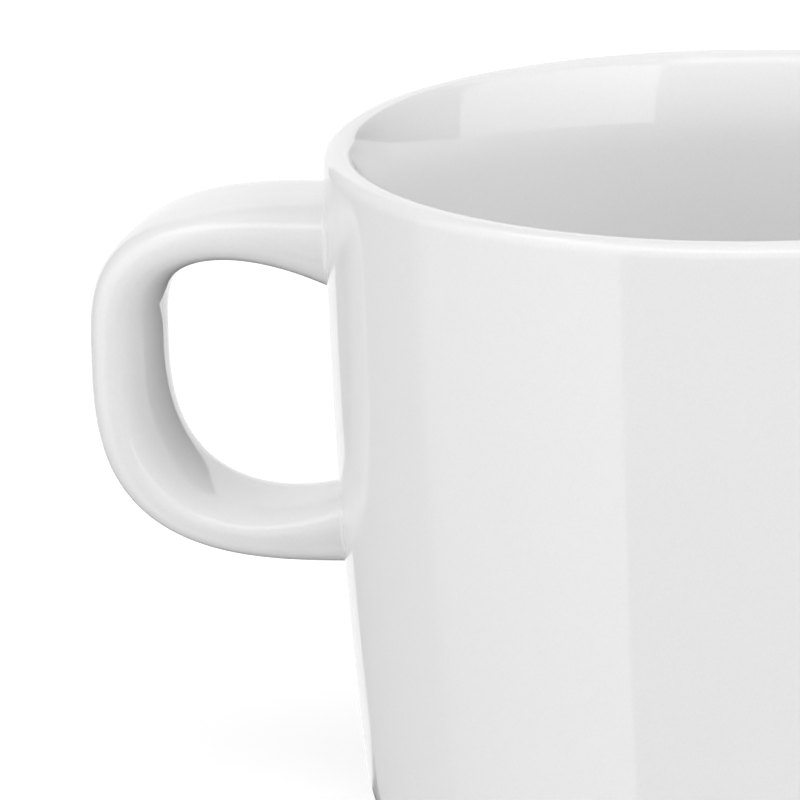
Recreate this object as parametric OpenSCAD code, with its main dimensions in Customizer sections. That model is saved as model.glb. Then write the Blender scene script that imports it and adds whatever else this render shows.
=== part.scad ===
// Glazed stoneware mug with a strap handle.
// The cup is a thrown and turned body on a low foot ring, and its wall thins to a round lip. The handle is cast apart and luted on
// with slip at two roots. Four coats of glaze cover all but the ring that the mug stands on.
// The origin is on the table, on the cup's axis. +Z is up and the handle points along -X.

/* [Cup] */
// Diameter over the glaze at the rim
rim_d = 90; // [75:1:110]
// Height from the table to the top of the lip
cup_h = 80; // [66:1:98]
// Radius of the side's slight outward curve, seen from the side
side_r = 680; // [500:10:900]
// Radius that turns the side into the base
base_r = 11.5; // [8:0.5:14]
// Thickness of the wall over the glaze
wall_t = 5.4; // [4.4:0.1:6.4]
// Thickness of the round lip over the glaze
lip_t = 3.2; // [2.6:0.1:4]
// Radius of the curve that thins the wall to the lip, inside
flare_r = 19; // [14:0.5:26]
// Height of the cup's floor, inside, above the table
floor_z = 6; // [5:0.5:8]
// Radius between the wall and the floor, inside
inner_base_r = 10; // [7:0.5:14]

/* [Foot] */
// Diameter over the foot ring
foot_d = 56; // [46:1:60]
// Width of the foot ring
foot_w = 3.4; // [2.6:0.1:4.2]
// Height of the base above the table, outside the ring
foot_h = 1; // [0.8:0.1:1.4]
// Height of the base above the table, inside the ring
recess_h = 1.8; // [1.4:0.1:2.4]
// Radius of the ring's two worn edges
foot_edge_r = 0.5; // [0.3:0.1:0.8]

/* [Handle] */
// How far the handle stands out past the rim
reach = 26.4; // [22:0.1:32]
// How far below the top of the lip it stands out furthest
grip_drop = 24; // [22:0.2:28]
// Thickness of the strap where the finger pulls
strap_t = 6.7; // [5.4:0.1:8]
// Width of the strap at the grip and at the upper root
strap_w = 18; // [15:0.1:21]
// Width of the strap at the lower root
lower_w = 12.4; // [10:0.1:15]
// Rise of the outer loop above the grip
outer_rise = 17.1; // [15:0.1:18]
// Drop of the outer loop below the grip
outer_drop = 23.8; // [21:0.1:26]
// Rise of the finger hole above the grip
hole_rise = 11.6; // [10:0.1:12.6]
// Drop of the finger hole below the grip
hole_drop = 19; // [16:0.5:20]
// How much the upper arm thickens down to its root
upper_flare = 6.1; // [3:0.1:7]
// How much the lower arm thickens up to its root
lower_flare = 4.3; // [3:0.1:6]
// Squareness of the loops: 2 is an ellipse, more is squarer
loop_square = 3; // [2.4:0.1:3.6]
// Squareness of the outer half of the strap's section
strap_square = 3; // [2.4:0.1:4]
// Squareness of its other half, towards the finger
hole_square = 2.2; // [2:0.1:3]

/* [Joints and glaze] */
// Thickness of the slip that sticks the handle to the cup
slip_t = 0.4; // [0.3:0.05:0.6]
// Thickness of every coat of glaze
glaze_t = 0.3; // [0.2:0.05:0.4]

/* [Hidden] */
$fn = 96;
stations = 40;        // steps along the strap
section_points = 32;  // points round the strap
clear = 1;            // how far a cutting shape runs past what it cuts
blend = 0.001;        // how far an arc runs past the line or arc that it touches, so that they join cleanly
flare_shift = blend * [-1, -4];  // moves the flare's arc across the wall's and the lip's by about that much

rim_r = rim_d / 2;
lip_r = lip_t / 2;
lip_z = cup_h - lip_r;
lip_c = [rim_r - lip_r, lip_z];
foot_r = foot_d / 2;
ring_r = foot_r - foot_w;

// The side is an arc about side_c, upright at the lip. The base arc touches it from inside.
side_c = [rim_r - side_r, lip_z];
function arc_x(r, z) = side_c.x + sqrt(r * r - (z - side_c.y) * (z - side_c.y));
base_c = [arc_x(side_r - base_r, foot_h + base_r), foot_h + base_r];
floor_c = [arc_x(side_r - wall_t - inner_base_r, floor_z + inner_base_r), floor_z + inner_base_r];
function touch(c, r) = side_c + (c - side_c) / norm(c - side_c) * r;

// The flare's circle holds the lip's circle, touches it on the inner side, and touches the inside
// of the wall. Its centre is the corner of a triangle on side_c and lip_c with these three sides.
side_lip = side_r - lip_r;
side_flare = side_r - wall_t + flare_r;
lip_flare = flare_r - lip_r;
flare_a = acos((pow(side_lip, 2) + pow(side_flare, 2) - pow(lip_flare, 2)) / (2 * side_lip * side_flare));
flare_c = side_c + side_flare * [cos(flare_a), -sin(flare_a)];
to_lip = (lip_c - flare_c) / lip_flare;
function flare_line(x) = [x, side_c.y - (x - side_c.x) * tan(flare_a)];  // along side_flare

// The loops are squared ellipses about the point where the strap's arms meet the cup's wall.
root_x = rim_r - lip_t;
grip_z = cup_h - grip_drop;
out_x = rim_r + reach;
hole_x = out_x - strap_t;
function squared(a, w, h, n) = pow(pow(abs(cos(a)) / w, n) + pow(abs(sin(a)) / h, n), -1 / n);
function loop_point(a, w, up, down) =
    let (r = squared(a, w, a > 0 ? up : down, loop_square)) [root_x + r * cos(a), grip_z + r * sin(a)];
function flare(x, amount, w) = amount * pow((root_x + w - x) / w, 2);
function outer_point(a, d) = loop_point(a, out_x - d - root_x, outer_rise - d, outer_drop - d);
function hole_point(a, d) =
    let (w = hole_x + d - root_x, p = loop_point(a, w, hole_rise + d, hole_drop + d))
    [p.x, p.y + (a > 0 ? -flare(p.x, upper_flare, w) : flare(p.x, lower_flare, w))];
function width_at(p, a) =
    let (k = pow(max(0, (out_x - p.x) / (out_x - root_x)), 2)) strap_w - (a > 0 ? 0 : (strap_w - lower_w) * k);

// One ring of the strap, set in by d from its glazed surface: the section runs from the hole's
// side to the outer side, and across the width.
function ring(a, d) =
    let (o = outer_point(a, d), h = hole_point(a, d), mid = (o + h) / 2, half = (o - h) / 2,
         w = width_at(mid, a) / 2 - d)
    [for (i = [0:section_points - 1])
        let (b = 360 * i / section_points, n = sin(b) > 0 ? strap_square : hole_square,
             r = squared(b, 1, 1, n), q = mid + half * r * sin(b))
        [-q.x, w * r * cos(b), q.y]];

// The whole strap with both its ends inside the wall.
module strap(d) {
    rings = [for (s = [0:stations]) ring(90 - 180 * s / stations, d)];
    last = stations * section_points;
    polyhedron(
        points = [for (r = rings) each r],
        faces = concat(
            [[for (i = [section_points - 1:-1:0]) i]],
            [for (s = [0:stations - 1]) for (i = [0:section_points - 1])
                let (j = (i + 1) % section_points, k = s * section_points, n = k + section_points)
                each [[k + i, n + j, n + i], [k + i, k + j, n + j]]],
            [[for (i = [0:section_points - 1]) last + i]]));
}

// The cup's outside outline, filled to the axis and set in by d from the glaze.
module outside(d) {
    t = touch(base_c, side_r - d);
    polygon([[0, foot_h + d], [base_c.x, foot_h + d], t, [0, t.y]]);
    translate(base_c) circle(base_r - d + blend);
    intersection() {
        translate(side_c) circle(side_r - d, $fn = 720);
        translate([0, t.y]) square([rim_r + clear, lip_z - t.y]);
    }
}

module under_flare() {
    polygon([[0, 0], [rim_r + clear, 0], flare_line(rim_r + clear), flare_line(0)]);
}

// The hollow's outline without its flare, filled to the axis and grown by d past the glaze.
module hollow(d) {
    t = touch(floor_c, side_r - wall_t + d);
    polygon([[0, floor_z - d], [floor_c.x, floor_z - d], t, [0, t.y]]);
    translate(floor_c) circle(inner_base_r + d + blend);
    intersection() {
        translate(side_c) circle(side_r - wall_t + d, $fn = 720);
        translate([0, t.y]) square([rim_r, lip_z - t.y]);
    }
}

// The wall beside the flare, set in by d from the glaze, up to the line on which flare and lip touch.
module flared_wall(d) {
    intersection() {
        translate(side_c) circle(side_r - d, $fn = 720);
        translate(flare_c + flare_shift) circle(flare_r - d);
        polygon([flare_line(0), flare_line(rim_r + clear), [rim_r + clear, lip_z],
                 lip_c, lip_c + to_lip * lip_t]);
    }
}

// The cup's section without its foot, set in by d from the glaze.
module clay(d) {
    difference() {
        union() {
            intersection() {
                outside(d);
                under_flare();
            }
            flared_wall(d);
        }
        hollow(d);
    }
    translate(lip_c) circle(lip_r - d);
}

// All that lies inside a line along the middle of the lip and on down through the wall.
module inner_half() {
    outside(lip_r);
    translate([0, lip_z]) square([lip_c.x, lip_t]);
}

module foot_outline() {
    x = [ring_r + foot_edge_r, foot_r - foot_edge_r];
    translate([ring_r, foot_edge_r]) square([foot_w, floor_z / 2]);
    translate([x[0], 0]) square([x[1] - x[0], foot_edge_r]);
    for (c = x) translate([c, foot_edge_r]) circle(foot_edge_r, $fn = 32);
}

module cup_body() {
    color("ivory") rotate_extrude() {
        difference() {
            clay(glaze_t);
            square([ring_r, recess_h + glaze_t]);
        }
        foot_outline();
    }
}

module handle() {
    color("linen") difference() {
        strap(glaze_t);
        rotate_extrude() outside(glaze_t - slip_t);
    }
}

// Slip between the cup and one arm of the handle; side 1 is the upper arm.
module slip_joint(side) {
    color("wheat") intersection() {
        strap(glaze_t);
        rotate_extrude() difference() {
            outside(glaze_t - slip_t);
            outside(glaze_t);
            translate([0, side > 0 ? -clear : grip_z]) square([rim_r + clear, side > 0 ? grip_z + clear : cup_h]);
        }
        translate([-rim_r - clear, -strap_w, 0]) cube([rim_r + clear, 2 * strap_w, cup_h]);
    }
}

module upper_slip_joint() { slip_joint(1); }
module lower_slip_joint() { slip_joint(-1); }

module outer_glaze() {
    color("white") difference() {
        rotate_extrude() difference() {
            clay(0);
            clay(glaze_t);
            inner_half();
            square([foot_r, foot_h + 2 * glaze_t]);
        }
        strap(0);
    }
}

module liner_glaze() {
    color("snow") rotate_extrude() difference() {
        intersection() {
            clay(0);
            inner_half();
        }
        clay(glaze_t);
    }
}

module base_glaze() {
    color("whitesmoke") translate([0, 0, recess_h]) cylinder(r = ring_r, h = glaze_t);
}

module handle_glaze() {
    color("white") difference() {
        strap(0);
        strap(glaze_t);
        rotate_extrude() outside(glaze_t);
    }
}

cup_body();
handle();
upper_slip_joint();
lower_slip_joint();
outer_glaze();
liner_glaze();
base_glaze();
handle_glaze();
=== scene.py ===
# A white glazed mug with a strap handle. Its skins follow the CAD solids and take their sizes from them.
from math import acos, atan2, cos, pi, radians, sin, sqrt

import bpy
import numpy as np
from mathutils import Matrix, Vector


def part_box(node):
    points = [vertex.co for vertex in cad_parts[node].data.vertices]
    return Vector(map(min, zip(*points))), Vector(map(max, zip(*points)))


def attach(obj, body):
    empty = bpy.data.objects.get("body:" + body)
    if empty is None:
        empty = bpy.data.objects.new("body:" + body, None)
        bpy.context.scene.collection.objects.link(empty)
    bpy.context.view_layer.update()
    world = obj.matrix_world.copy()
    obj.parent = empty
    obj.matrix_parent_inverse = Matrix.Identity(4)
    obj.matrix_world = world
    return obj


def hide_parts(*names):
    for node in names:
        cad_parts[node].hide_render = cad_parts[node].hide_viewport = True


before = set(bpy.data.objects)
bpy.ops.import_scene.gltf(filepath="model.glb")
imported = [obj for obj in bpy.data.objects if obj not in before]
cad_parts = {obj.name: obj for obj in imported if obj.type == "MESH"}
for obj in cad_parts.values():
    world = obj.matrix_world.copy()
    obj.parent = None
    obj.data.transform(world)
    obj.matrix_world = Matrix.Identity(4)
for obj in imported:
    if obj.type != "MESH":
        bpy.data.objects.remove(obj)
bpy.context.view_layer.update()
mm = 0.001
print("frame loaded:", ", ".join(sorted(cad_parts)))


# Rings of points, rows by columns by 3. The columns close on themselves. The rows either close too,
# as on a ring-shaped skin, or end in a pole at the mean of the first and of the last row.
def meshFromRings(name, rings, rowsClose=False):
    rows, columns = rings.shape[:2]
    number = np.arange(rows * columns).reshape(rows, columns)
    here = number if rowsClose else number[:-1]
    after = np.roll(number, -1, 0)[:len(here)]
    beside = np.roll(here, -1, 1)
    across = np.roll(after, -1, 1)
    faces = np.stack([here, beside, across, after], -1).reshape(-1, 4).tolist()
    points = rings.reshape(-1, 3)
    if not rowsClose:
        first, last = len(points), len(points) + 1
        points = np.vstack([points, rings[0].mean(0), rings[-1].mean(0)])
        faces += [[first, b, a] for a, b in zip(number[0], np.roll(number[0], -1))]
        faces += [[last, a, b] for a, b in zip(number[-1], np.roll(number[-1], -1))]
    mesh = bpy.data.meshes.new(name)
    mesh.from_pydata(points.tolist(), [], faces)
    mesh.polygons.foreach_set("use_smooth", np.ones(len(mesh.polygons), bool))
    mesh.update()
    piece = bpy.data.objects.new(name, mesh)
    bpy.context.scene.collection.objects.link(piece)
    return piece


# An outline of radius and height carried round Z: x = r cos t, y = r sin t.
def turned(outline, around):
    t = np.linspace(0, 2 * pi, around, endpoint=False)
    r, z = outline[:, :1], outline[:, 1:]
    return np.stack([r * np.cos(t), r * np.sin(t), z + 0 * t], -1)


# Points of an arc: centre + radius (cos a, sin a), from one angle to the other.
def arc(centre, radius, start, end, count):
    a = np.linspace(start, end, count)
    return np.stack([centre[0] + radius * np.cos(a), centre[1] + radius * np.sin(a)], -1)


def line(start, end, count):
    return np.linspace(start, end, count)


cup = {
    "sideRadius": 680 * mm,    # the side's slight outward curve
    "baseRadius": 11.5 * mm,   # from the side into the base
    "hollowRadius": 10 * mm,   # from the wall into the floor, inside
    "wall": 5.4 * mm,
    "lip": 3.2 * mm,           # thickness of the round lip
    "flareRadius": 19 * mm,    # of the curve that thins the wall to the lip, inside
    "glaze": 0.3 * mm,
    "dish": 0.25 * mm,         # how far the floor dips to its middle
    "pole": 0.4 * mm,          # radius of the first ring round the middle
    "foot": 3.4 * mm,          # width of the bare ring that it stands on
    "around": 256,             # steps round the cup
}
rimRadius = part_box("outer_glaze")[1].x
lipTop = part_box("liner_glaze")[1].z
lipRadius = cup["lip"] / 2
lipCentre = (rimRadius - lipRadius, lipTop - lipRadius)
sideCentre = (rimRadius - cup["sideRadius"], lipCentre[1])
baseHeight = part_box("outer_glaze")[0].z
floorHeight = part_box("liner_glaze")[0].z + cup["glaze"]
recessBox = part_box("base_glaze")
ringInside = recessBox[1].x
footRadius = ringInside + cup["foot"]
recessHeight = recessBox[0].z


# Centre of a corner arc that touches the side arc from inside, and the angle at which they touch.
def cornerCentre(sideRadius, cornerRadius, height):
    z = height + cornerRadius
    x = sideCentre[0] + sqrt((sideRadius - cornerRadius) ** 2 - (z - sideCentre[1]) ** 2)
    return (x, z), atan2(z - sideCentre[1], x - sideCentre[0])


baseCentre, baseAngle = cornerCentre(cup["sideRadius"], cup["baseRadius"], baseHeight)
hollowCentre, hollowAngle = cornerCentre(
    cup["sideRadius"] - cup["wall"], cup["hollowRadius"], floorHeight)


# The flare's circle holds the lip's circle and touches it and the wall. Its centre is the corner of
# a triangle on the centres of the side and the lip, found with the law of cosines.
sideToLip = cup["sideRadius"] - lipRadius
sideToFlare = cup["sideRadius"] - cup["wall"] + cup["flareRadius"]
flareToLip = cup["flareRadius"] - lipRadius
flareTurn = acos((sideToLip ** 2 + sideToFlare ** 2 - flareToLip ** 2) / (2 * sideToLip * sideToFlare))
flareCentre = (sideCentre[0] + sideToFlare * cos(flareTurn), sideCentre[1] - sideToFlare * sin(flareTurn))
lipAngle = atan2(lipCentre[1] - flareCentre[1], lipCentre[0] - flareCentre[0])


# The cup from the middle of its floor, over the lip and down to the foot, set in by inset from the
# glaze: every stretch is an arc about its own centre, so all coats follow the same arcs.
def cupOutline(inset, detail):
    def steps(count):
        return max(4, round(count * detail))

    floor = line((cup["pole"], floorHeight - inset), (hollowCentre[0], floorHeight - inset), steps(16))
    floor[:, 1] -= cup["dish"] * (1 - (floor[:, 0] / hollowCentre[0]) ** 2) ** 2
    return np.vstack([
        floor[:-1],
        arc(hollowCentre, cup["hollowRadius"] + inset, -pi / 2, hollowAngle, steps(20))[:-1],
        arc(sideCentre, cup["sideRadius"] - cup["wall"] + inset, hollowAngle, -flareTurn, steps(32))[:-1],
        arc(flareCentre, cup["flareRadius"] - inset, pi - flareTurn, lipAngle, steps(24))[:-1],
        arc(lipCentre, lipRadius - inset, lipAngle, 0, steps(32))[:-1],
        arc(sideCentre, cup["sideRadius"] - inset, 0, baseAngle, steps(44))[:-1],
        arc(baseCentre, cup["baseRadius"] - inset, baseAngle, -pi / 2, steps(20)),
    ])


# Radius of the glazed outside at a height on the side arc.
def outsideRadius(z):
    return sideCentre[0] + np.sqrt(cup["sideRadius"] ** 2 - (z - sideCentre[1]) ** 2)


# The glaze outside and inside the cup is one skin. It ends beside the foot in a rounded bead.
def cupGlaze():
    bead = cup["glaze"] / 2
    beadCentre = (footRadius + bead, baseHeight + bead)
    outer = cupOutline(0, 1)
    inner = cupOutline(cup["glaze"], 0.5)[::-1]
    end = arc(beadCentre, bead, -pi / 2, -3 * pi / 2, 9)
    piece = meshFromRings("cupGlaze", turned(np.vstack([outer, end, inner]), cup["around"])[::-1])
    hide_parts("outer_glaze", "liner_glaze")
    return piece


foot = {
    "edge": 0.5 * mm,      # worn edges of the ring
    "grooves": 5,          # turning marks across the ring's flat
    "grooveDepth": 0.015 * mm,
    "around": 256,
}


# The fired clay: the cup's outline under its glaze, and the bare foot ring with its turning marks.
def bisqueBody():
    glaze, edge = cup["glaze"], foot["edge"]
    inX, outX = ringInside + edge, footRadius - edge
    flat = line((outX, 0), (inX, 0), 41)
    across = (flat[:, 0] - inX) / (outX - inX)
    flat[:, 1] += foot["grooveDepth"] * np.sin(across * foot["grooves"] * pi) ** 2
    outline = np.vstack([
        cupOutline(glaze, 0.5),
        line((footRadius + glaze, baseHeight + glaze), (footRadius, baseHeight + glaze), 2),
        arc((outX, edge), edge, 0, -pi / 2, 9)[:-1],
        flat[:-1],
        arc((inX, edge), edge, -pi / 2, -pi, 9),
        line((ringInside, recessHeight + glaze), (cup["pole"], recessHeight + glaze), 12),
    ])
    piece = meshFromRings("bisqueBody", turned(outline, foot["around"])[::-1])
    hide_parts("cup_body")
    return piece


recess = {
    "rise": 0.12 * mm,     # how far the glaze climbs the ring
    "reach": 1.6 * mm,     # over what width it climbs
    "around": 192,
}


# The coat in the recess. Its lower face climbs the ring in a soft curve: at a distance d from the ring
# it is lower by rise (1 - d/reach)^2.
def recessGlaze():
    thick = cup["glaze"]
    climb = np.linspace(0, recess["reach"], 12)
    level = np.linspace(1.5 * recess["reach"], ringInside - cup["pole"], 14)
    d = np.concatenate([climb, level])
    r = ringInside - d
    gap = np.clip(1 - d / recess["reach"], 0, 1)
    low = np.stack([r, recessHeight - recess["rise"] * gap ** 2], -1)
    high = np.stack([r, 0 * r + recessHeight + thick], -1)
    piece = meshFromRings("recessGlaze", turned(np.vstack([low[::-1], high]), recess["around"]))
    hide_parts("base_glaze")
    return piece


handle = {
    "rise": 17.1 * mm,         # of the outer loop above the grip
    "strap": 6.7 * mm,         # thickness at the grip
    "holeRise": 11.6 * mm,
    "holeDrop": 19 * mm,
    "upperFlare": 6.1 * mm,    # how much the arms thicken to their roots
    "lowerFlare": 4.3 * mm,
    "lowerWidth": 12.4 * mm,   # of the strap at its lower root
    "loopPower": 3,            # squareness of the loops
    "outerPower": 3,           # squareness of the outer half of the strap's section
    "holePower": 2.2,          # and of the half on the hole's side
    "fillet": 0.5 * mm,        # of glaze in the corner round each root
    "sink": 0.01 * mm,         # how far the fillet's edge sinks into the cup's glaze
    "along": 150,              # steps along the strap
    "around": 96,              # steps round its section
}
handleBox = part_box("handle_glaze")
rootX = rimRadius - cup["lip"]
outX = -handleBox[0].x
gripZ = handleBox[1].z - handle["rise"]
outerDrop = gripZ - handleBox[0].z
strapWidth = 2 * handleBox[1].y


# Polar radius of a squared ellipse: (|cos a / w|^n + |sin a / h|^n)^(-1/n).
def squared(a, w, h, n):
    return (np.abs(np.cos(a) / w) ** n + np.abs(np.sin(a) / h) ** n) ** (-1 / n)


def loop(a, w, up, down):
    r = squared(a, w, np.where(a > 0, up, down), handle["loopPower"])
    return np.stack([rootX + r * np.cos(a), gripZ + r * np.sin(a)], -1)


# The strap's surface at angle a along its loop, from +90 degrees at the upper root to -90 at the
# lower one, and b round its section. The section is a squared circle, rounder on the hole's side,
# stretched between the hole's loop and the outer loop. The hole's loop bends away towards both roots.
def strapSurface(a, b, inset):
    outer = loop(a, outX - inset - rootX, handle["rise"] - inset, outerDrop - inset)
    w = outX - handle["strap"] + inset - rootX
    hole = loop(a, w, handle["holeRise"] + inset, handle["holeDrop"] + inset)
    flare = np.where(a > 0, -handle["upperFlare"], handle["lowerFlare"])
    hole[..., 1] += flare * ((rootX + w - hole[..., 0]) / w) ** 2
    middle, half = (outer + hole) / 2, (outer - hole) / 2
    taper = np.clip((outX - middle[..., 0]) / (outX - rootX), 0, None) ** 2
    width = strapWidth - np.where(a > 0, 0, strapWidth - handle["lowerWidth"]) * taper
    r = squared(b, 1, 1, np.where(np.sin(b) > 0, handle["outerPower"], handle["holePower"]))
    spine = middle + half * (r * np.sin(b))[..., None]
    return np.stack([-spine[..., 0], (width / 2 - inset) * r * np.cos(b), spine[..., 1]], -1)


def heightOverCup(points):
    return np.hypot(points[..., 0], points[..., 1]) - outsideRadius(points[..., 2])


# The angle along the loop at which the strap stands a given height over the cup. It is found by
# halving the stretch between the root and a place where the strap is well clear of the cup.
def angleAtHeight(b, height, inset, side):
    clearShare, halvings = 0.55, 40
    near = np.full(np.broadcast(b, height).shape, side * pi / 2)
    far = near * clearShare
    for _ in range(halvings):
        middle = (near + far) / 2
        under = heightOverCup(strapSurface(middle, b + 0 * middle, inset)) < height
        near, far = np.where(under, middle, near), np.where(under, far, middle)
    return (near + far) / 2


# Rings from the free strap down to one root. The last of them follow a quarter circle that lands
# flat on the cup: at turn f it stands fillet (1 - sin f) over the cup and is moved out along the
# strap's normal by fillet (1 - cos f). After it the skin sinks to the clay, half a fillet further out.
def rootRings(b, side):
    turn = np.linspace(0, pi / 2, 13)[:, None]
    fillet = handle["fillet"]
    height = np.vstack([fillet * (1 - np.sin(turn)), [[-handle["sink"]]], [[-cup["glaze"]]]])
    outward = np.vstack([fillet * (1 - np.cos(turn)), [[fillet * 1.5]], [[fillet * 1.5]]])
    a = angleAtHeight(b, height, 0, side)
    points = strapSurface(a, b + 0 * a, 0)
    step = 1e-4
    alongStrap = strapSurface(a + step, b + 0 * a, 0) - points
    roundSection = strapSurface(a, b + step + 0 * a, 0) - points
    normal = np.cross(roundSection, alongStrap)
    cupNormal = points * [1, 1, 0]
    cupNormal /= np.linalg.norm(cupNormal, axis=-1, keepdims=True)
    normal -= (normal * cupNormal).sum(-1, keepdims=True) * cupNormal
    normal /= np.linalg.norm(normal, axis=-1, keepdims=True)
    moved = points + normal * outward[..., None]
    reach = outsideRadius(moved[..., 2]) + height
    moved[..., :2] *= (reach / np.hypot(moved[..., 0], moved[..., 1]))[..., None]
    return a, moved


# The handle's glaze is a closed skin: its outside with both fillets, and its inside on the clay.
def handleGlaze():
    b = np.linspace(0, 2 * pi, handle["around"], endpoint=False)[None, :]
    upperA, upper = rootRings(b, 1)
    lowerA, lower = rootRings(b, -1)
    share = np.linspace(0, 1, handle["along"] + 1)[1:-1, None]
    a = upperA[0] + (lowerA[0] - upperA[0]) * share
    free = strapSurface(a, b + 0 * a, 0)
    ends = [angleAtHeight(b, np.full((1, 1), -cup["glaze"]), cup["glaze"], s)[0] for s in (-1, 1)]
    share = np.linspace(0, 1, handle["along"] // 2)[:, None]
    a = ends[0] + (ends[1] - ends[0]) * share
    under = strapSurface(a, b + 0 * a, cup["glaze"])
    rings = np.concatenate([upper[::-1], free, lower, under])[::-1]
    piece = meshFromRings("handleGlaze", rings, rowsClose=True)
    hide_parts("handle_glaze")
    return piece


pieces = {"cup": cupGlaze(), "body": bisqueBody(), "recess": recessGlaze(), "handle": handleGlaze()}
for piece in pieces.values():
    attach(piece, "root")
print("meshes made:", ", ".join(p.name for p in pieces.values()))


# Sets a socket from a number or from another node's output.
def put(tree, socket, value):
    if isinstance(value, bpy.types.NodeSocket):
        tree.links.new(value, socket)
    else:
        socket.default_value = value


def maths(tree, operation, *values):
    node = tree.nodes.new("ShaderNodeMath")
    node.operation = operation
    for socket, value in zip(node.inputs, values):
        put(tree, socket, value)
    return node.outputs[0]


# Smooth step from 0 to 1 while value goes from low to high.
def smoothStep(tree, value, low, high):
    node = tree.nodes.new("ShaderNodeMapRange")
    node.interpolation_type = "SMOOTHSTEP"
    put(tree, node.inputs["Value"], value)
    put(tree, node.inputs["From Min"], low)
    put(tree, node.inputs["From Max"], high)
    return node.outputs["Result"]


def mixColours(tree, share, first, second):
    node = tree.nodes.new("ShaderNodeMix")
    node.data_type = "RGBA"
    put(tree, node.inputs[0], share)
    put(tree, node.inputs[6], first)
    put(tree, node.inputs[7], second)
    return node.outputs[2]


def noise(tree, place, size, detail):
    node = tree.nodes.new("ShaderNodeTexNoise")
    put(tree, node.inputs["Vector"], place)
    put(tree, node.inputs["Scale"], maths(tree, "DIVIDE", 1, size))
    node.inputs["Detail"].default_value = detail
    return node.outputs["Fac"]


def newGroup(name, inputs, outputs):
    tree = bpy.data.node_groups.new(name, "ShaderNodeTree")
    for label in inputs:
        tree.interface.new_socket(label, in_out="INPUT", socket_type="NodeSocketFloat")
    for label in outputs:
        tree.interface.new_socket(label, in_out="OUTPUT", socket_type="NodeSocketFloat")
    return tree, tree.nodes.new("NodeGroupInput").outputs, tree.nodes.new("NodeGroupOutput").inputs


def placeGroup(tree, group, values):
    node = tree.nodes.new("ShaderNodeGroup")
    node.node_tree = group
    for label, value in values.items():
        put(tree, node.inputs[label], value)
    return node.outputs


# Fired surface: slow patches and fine grain. Tone = 1 + patches * amount + grain * amount, both
# around 0, and Height = grain, from 0 to 1. Sizes are in metres.
def firedSurfaceGroup():
    labels = ("Patch Size", "Patch Amount", "Grain Size", "Grain Amount")
    tree, given, result = newGroup("firedSurface", labels, ("Tone", "Height"))
    place = tree.nodes.new("ShaderNodeTexCoord").outputs["Object"]
    patches = maths(tree, "SUBTRACT", noise(tree, place, given["Patch Size"], 2), 0.5)
    grain = noise(tree, place, given["Grain Size"], 1)
    tone = maths(tree, "MULTIPLY_ADD", patches, given["Patch Amount"], 1)
    middle = maths(tree, "SUBTRACT", grain, 0.5)
    put(tree, result["Tone"], maths(tree, "MULTIPLY_ADD", middle, given["Grain Amount"], tone))
    put(tree, result["Height"], grain)
    return tree


firedSurface = firedSurfaceGroup()


def newMaterial(name):
    material = bpy.data.materials.new(name)
    material.use_nodes = True
    return material, material.node_tree, material.node_tree.nodes["Principled BSDF"]


def tinted(tree, colour, tone):
    node = tree.nodes.new("ShaderNodeVectorMath")
    node.operation = "SCALE"
    put(tree, node.inputs[0], colour)
    put(tree, node.inputs["Scale"], tone)
    return node.outputs[0]


def bumped(tree, shader, height):
    node = tree.nodes.new("ShaderNodeBump")
    node.inputs["Distance"].default_value = 1
    put(tree, node.inputs["Height"], height)
    put(tree, shader.inputs["Normal"], node.outputs["Normal"])


glaze = {
    "colour": (0.83, 0.83, 0.83),
    "edgeColour": (0.80, 0.765, 0.70, 1),   # where it runs thin beside the foot
    "edgeWidth": 0.7 * mm,
    "edgeFade": (0.3, 1.6),                 # where it starts and ends to turn white, in edge widths
    "edgeWander": 5 * mm,                   # length of its waves
    "roughness": (0.04, 0.06),
    "patches": (28 * mm, 0.012),
    "grain": (0.26 * mm, 0.06),
    "ripple": (24 * mm, 0.008 * mm),        # length and height of the slow waves in its surface
    "grainHeight": 0.0002 * mm,
    "refraction": 1.5,
}


# Glossy white: a thin warm edge by the foot, a slow ripple under a very fine grain.
def glazeMaterial():
    material, tree, shader = newMaterial("whiteGlaze")
    surface = placeGroup(tree, firedSurface, {
        "Patch Size": glaze["patches"][0], "Patch Amount": glaze["patches"][1],
        "Grain Size": glaze["grain"][0], "Grain Amount": glaze["grain"][1]})
    place = tree.nodes.new("ShaderNodeTexCoord").outputs["Object"]
    split = tree.nodes.new("ShaderNodeSeparateXYZ")
    put(tree, split.inputs[0], place)
    wander = maths(tree, "MULTIPLY", noise(tree, place, glaze["edgeWander"], 2), glaze["edgeWidth"])
    rise = maths(tree, "SUBTRACT", split.outputs["Z"], baseHeight)
    start, end = (share * glaze["edgeWidth"] for share in glaze["edgeFade"])
    thick = smoothStep(tree, maths(tree, "ADD", rise, wander), start, end)
    white = tinted(tree, glaze["colour"], surface["Tone"])
    put(tree, shader.inputs["Base Color"], mixColours(tree, thick, glaze["edgeColour"], white))
    ripple = noise(tree, place, glaze["ripple"][0], 1)
    low, high = glaze["roughness"]
    put(tree, shader.inputs["Roughness"], maths(tree, "MULTIPLY_ADD", ripple, high - low, low))
    grainHeight = maths(tree, "MULTIPLY", surface["Height"], glaze["grainHeight"])
    bumped(tree, shader, maths(tree, "MULTIPLY_ADD", ripple, glaze["ripple"][1], grainHeight))
    shader.inputs["IOR"].default_value = glaze["refraction"]
    return material


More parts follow.
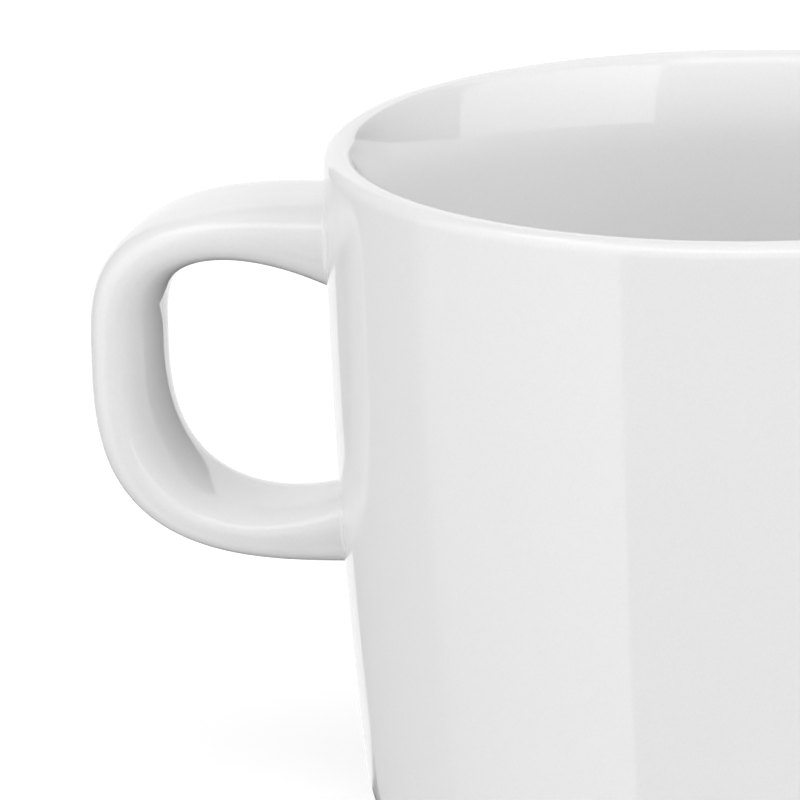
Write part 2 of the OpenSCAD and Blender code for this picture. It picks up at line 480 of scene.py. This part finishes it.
bisque = {
    "colour": (0.80, 0.775, 0.73),
    "roughness": 0.85,
    "specks": (0.42, 0.33, 0.24, 1),
    "speckSize": 0.5 * mm,
    "speckStart": (0.76, 0.8),              # noise level at which a speck begins and is full
    "wear": (0.50, 0.48, 0.45, 1),          # grey rubbed into the flat that it stands on
    "wearHeight": 0.03 * mm,
    "wearSize": 3 * mm,
    "wearStart": (0.4, 0.7),
    "wearSmoothing": -0.25,                 # change of roughness where it is rubbed
    "patches": (9 * mm, 0.06),
    "grain": (0.25 * mm, 0.12),
    "grainHeight": 0.02 * mm,
}


# Bare fired clay: grainy and matt, with a few iron specks, greyed where it rubs on the table.
def bisqueMaterial():
    material, tree, shader = newMaterial("bisque")
    surface = placeGroup(tree, firedSurface, {
        "Patch Size": bisque["patches"][0], "Patch Amount": bisque["patches"][1],
        "Grain Size": bisque["grain"][0], "Grain Amount": bisque["grain"][1]})
    place = tree.nodes.new("ShaderNodeTexCoord").outputs["Object"]
    split = tree.nodes.new("ShaderNodeSeparateXYZ")
    put(tree, split.inputs[0], place)
    speck = smoothStep(tree, noise(tree, place, bisque["speckSize"], 0), *bisque["speckStart"])
    clay = mixColours(tree, speck, tinted(tree, bisque["colour"], surface["Tone"]), bisque["specks"])
    near = maths(tree, "SUBTRACT", 1, smoothStep(tree, split.outputs["Z"], 0.0, bisque["wearHeight"]))
    rubbed = smoothStep(tree, noise(tree, place, bisque["wearSize"], 3), *bisque["wearStart"])
    worn = maths(tree, "MULTIPLY", near, rubbed)
    put(tree, shader.inputs["Base Color"], mixColours(tree, worn, clay, bisque["wear"]))
    roughness = maths(tree, "MULTIPLY_ADD", worn, bisque["wearSmoothing"], bisque["roughness"])
    put(tree, shader.inputs["Roughness"], roughness)
    bumped(tree, shader, maths(tree, "MULTIPLY", surface["Height"], bisque["grainHeight"]))
    return material


slip = {
    "colour": (0.78, 0.75, 0.70),
    "roughness": 0.8,
    "patches": (4 * mm, 0.05),
    "grain": (0.15 * mm, 0.08),
    "grainHeight": 0.01 * mm,
}


# The slip that joins handle and cup: finer and darker than the clay.
def slipMaterial():
    material, tree, shader = newMaterial("slip")
    surface = placeGroup(tree, firedSurface, {
        "Patch Size": slip["patches"][0], "Patch Amount": slip["patches"][1],
        "Grain Size": slip["grain"][0], "Grain Amount": slip["grain"][1]})
    put(tree, shader.inputs["Base Color"], tinted(tree, slip["colour"], surface["Tone"]))
    shader.inputs["Roughness"].default_value = slip["roughness"]
    bumped(tree, shader, maths(tree, "MULTIPLY", surface["Height"], slip["grainHeight"]))
    return material


def coat(piece, material):
    piece.data.materials.clear()
    piece.data.materials.append(material)


whiteGlaze, bareClay, slipLayer = glazeMaterial(), bisqueMaterial(), slipMaterial()
for name in ("cup", "recess", "handle"):
    coat(pieces[name], whiteGlaze)
coat(pieces["body"], bareClay)
coat(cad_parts["handle"], bareClay)
for name in ("upper_slip_joint", "lower_slip_joint"):
    coat(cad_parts[name], slipLayer)
print("materials made:", ", ".join(m.name for m in (whiteGlaze, bareClay, slipLayer)))

camera = {
    "turn": 12.42,             # degrees round the mug, from straight in front
    "tilt": 15.76,             # degrees looking down
    "roll": -1.04,
    "distance": 675 * mm,      # from the middle of the lip, along the view
    "lipRight": 36.86 * mm,    # where the middle of the lip lies from the view's centre
    "lipUp": 25.97 * mm,
    "lens": 287.06,
    "farthest": 50,            # metres that it sees
}


def makeCamera():
    turn, tilt, roll = (radians(camera[k]) for k in ("turn", "tilt", "roll"))
    right = Vector((cos(turn), sin(turn), 0))
    ahead = Vector((-sin(turn) * cos(tilt), cos(turn) * cos(tilt), -sin(tilt)))
    up = right.cross(ahead)
    right, up = right * cos(roll) + up * sin(roll), up * cos(roll) - right * sin(roll)
    lip = Vector((0, 0, lipCentre[1]))
    place = lip - ahead * camera["distance"] - right * camera["lipRight"] - up * camera["lipUp"]
    data = bpy.data.cameras.new("camera")
    data.lens = camera["lens"]
    data.clip_end = camera["farthest"]
    view = bpy.data.objects.new("camera", data)
    view.matrix_world = Matrix.Translation(place) @ Matrix((right, up, -ahead)).transposed().to_4x4()
    bpy.context.scene.collection.objects.link(view)
    bpy.context.scene.camera = view


makeCamera()
bpy.context.scene.view_settings.view_transform = "Standard"

floor = {
    "radius": 4,
    "around": 96,
    "colour": (0.71, 0.71, 0.71, 1),
    "lift": 0.44,               # light that only the camera sees, so that it reads as white
}


# A round floor. Reflections pass through it, so that the glaze mirrors the whole studio.
def makeFloor():
    t = np.linspace(0, 2 * pi, floor["around"], endpoint=False)
    points = np.stack([np.cos(t), np.sin(t), 0 * t], -1) * floor["radius"]
    mesh = bpy.data.meshes.new("floor")
    mesh.from_pydata(points.tolist(), [], [list(range(len(points)))])
    plane = bpy.data.objects.new("floor", mesh)
    bpy.context.scene.collection.objects.link(plane)
    material, tree, shader = newMaterial("paleFloor")
    path = tree.nodes.new("ShaderNodeLightPath").outputs
    shader.inputs["Base Color"].default_value = floor["colour"]
    shader.inputs["Roughness"].default_value = 1
    shader.inputs["Specular IOR Level"].default_value = 0
    shader.inputs["Emission Color"].default_value = (1, 1, 1, 1)
    lift = maths(tree, "MULTIPLY", path["Is Camera Ray"], floor["lift"])
    put(tree, shader.inputs["Emission Strength"], lift)
    mix = tree.nodes.new("ShaderNodeMixShader")
    put(tree, mix.inputs[0], path["Is Glossy Ray"])
    put(tree, mix.inputs[1], shader.outputs[0])
    put(tree, mix.inputs[2], tree.nodes.new("ShaderNodeBsdfTransparent").outputs[0])
    put(tree, tree.nodes["Material Output"].inputs["Surface"], mix.outputs[0])
    coat(plane, material)


makeFloor()

# Panels of light round the mug, in degrees. Turn is counted from the side where the camera stands,
# towards the view's left, and height from the horizon. Each panel is given by its middle and half its
# size. Fade is how much stronger its left edge is than its middle. Panels below the horizon light
# nothing through the floor, and only the glaze mirrors them.
studio = {
    # name: (turn, height, half width, half height, softness of its edges, fade, strength)
    "left": (70.1, 22, 32.9, 22, 0.4, 0, 1.4),
    "leftLow": (70.1, -45, 32.9, 45, 0.4, -0.3, 0.9),
    "right": (-61.2, 22, 35.2, 22, 0.4, 0.3, 1.92),
    "rightLow": (-61.2, -45, 35.2, 45, 0.4, 0, 0.45),
    "front": (5.6, 22, 31.6, 22, 0.4, 0, 0.68),
    "low": (3.2, -10, 99.8, 10, 6, 0, 0.4),
    "frontLow": (5.6, -64, 31.6, 26, 6, 0, 1),
    "ceiling": (0, 54.5, 180, 10.5, 0.4, 0, 0.36),
    "ceilingFront": (38.5, 54.5, 64.5, 10.5, 0.4, 0, 2.1),
    "ceilingRear": (-138.2, 54.5, 41.8, 10.5, 0.4, 0, 0.55),
    "top": (0, 90, 180, 25, 0.4, 0, 0.45),
    "back": (180, 11.5, 24, 32.5, 0.4, 0, 1.08),
    "rearLeft": (129.5, -23, 26.5, 67, 0.4, 0.2, 0.45),
}


# Mask of one panel: with q = |offset| - half size across it and up it, the mask falls smoothly from
# 1 to 0 while q goes from -softness to softness. Mask = both falls * (1 + fade * offset / half width).
def panelGroup():
    labels = ("Azimuth", "Elevation", "Turn", "Height", "Half Width", "Half Height", "Softness", "Fade")
    tree, given, result = newGroup("softPanel", labels, ("Mask",))
    aside = maths(tree, "WRAP", maths(tree, "SUBTRACT", given["Azimuth"], given["Turn"]), 180, -180)
    above = maths(tree, "SUBTRACT", given["Elevation"], given["Height"])
    inside = []
    for offset, half in ((aside, given["Half Width"]), (above, given["Half Height"])):
        q = maths(tree, "SUBTRACT", maths(tree, "ABSOLUTE", offset), half)
        fall = smoothStep(tree, q, maths(tree, "MULTIPLY", given["Softness"], -1), given["Softness"])
        inside.append(maths(tree, "SUBTRACT", 1, fall))
    across = maths(tree, "DIVIDE", aside, given["Half Width"])
    level = maths(tree, "MULTIPLY_ADD", across, given["Fade"], 1)
    put(tree, result["Mask"], maths(tree, "MULTIPLY", level, maths(tree, "MULTIPLY", *inside)))
    return tree


# The world is the studio's light by direction, and plain white to the camera.
def makeWorld():
    world = bpy.data.worlds.new("studio")
    world.use_nodes = True
    tree = world.node_tree
    split = tree.nodes.new("ShaderNodeSeparateXYZ")
    put(tree, split.inputs[0], tree.nodes.new("ShaderNodeTexCoord").outputs["Generated"])
    x, y, z = split.outputs
    compass = maths(tree, "DEGREES", maths(tree, "ARCTAN2", x, y))
    azimuth = maths(tree, "ADD", compass, 180 + camera["turn"])
    elevation = maths(tree, "DEGREES", maths(tree, "ARCSINE", z))
    group = panelGroup()
    light = 0
    for turn, height, halfWidth, halfHeight, softness, fade, strength in studio.values():
        mask = placeGroup(tree, group, {
            "Azimuth": azimuth, "Elevation": elevation, "Turn": turn, "Height": height,
            "Half Width": halfWidth, "Half Height": halfHeight, "Softness": softness, "Fade": fade})["Mask"]
        light = maths(tree, "MULTIPLY_ADD", mask, strength, light)
    seen = tree.nodes.new("ShaderNodeLightPath").outputs["Is Camera Ray"]
    strength = maths(tree, "MAXIMUM", light, seen)
    put(tree, tree.nodes["Background"].inputs["Color"], (1, 1, 1, 1))
    put(tree, tree.nodes["Background"].inputs["Strength"], strength)
    bpy.context.scene.world = world


makeWorld()
print("studio made:", len(studio), "panels")
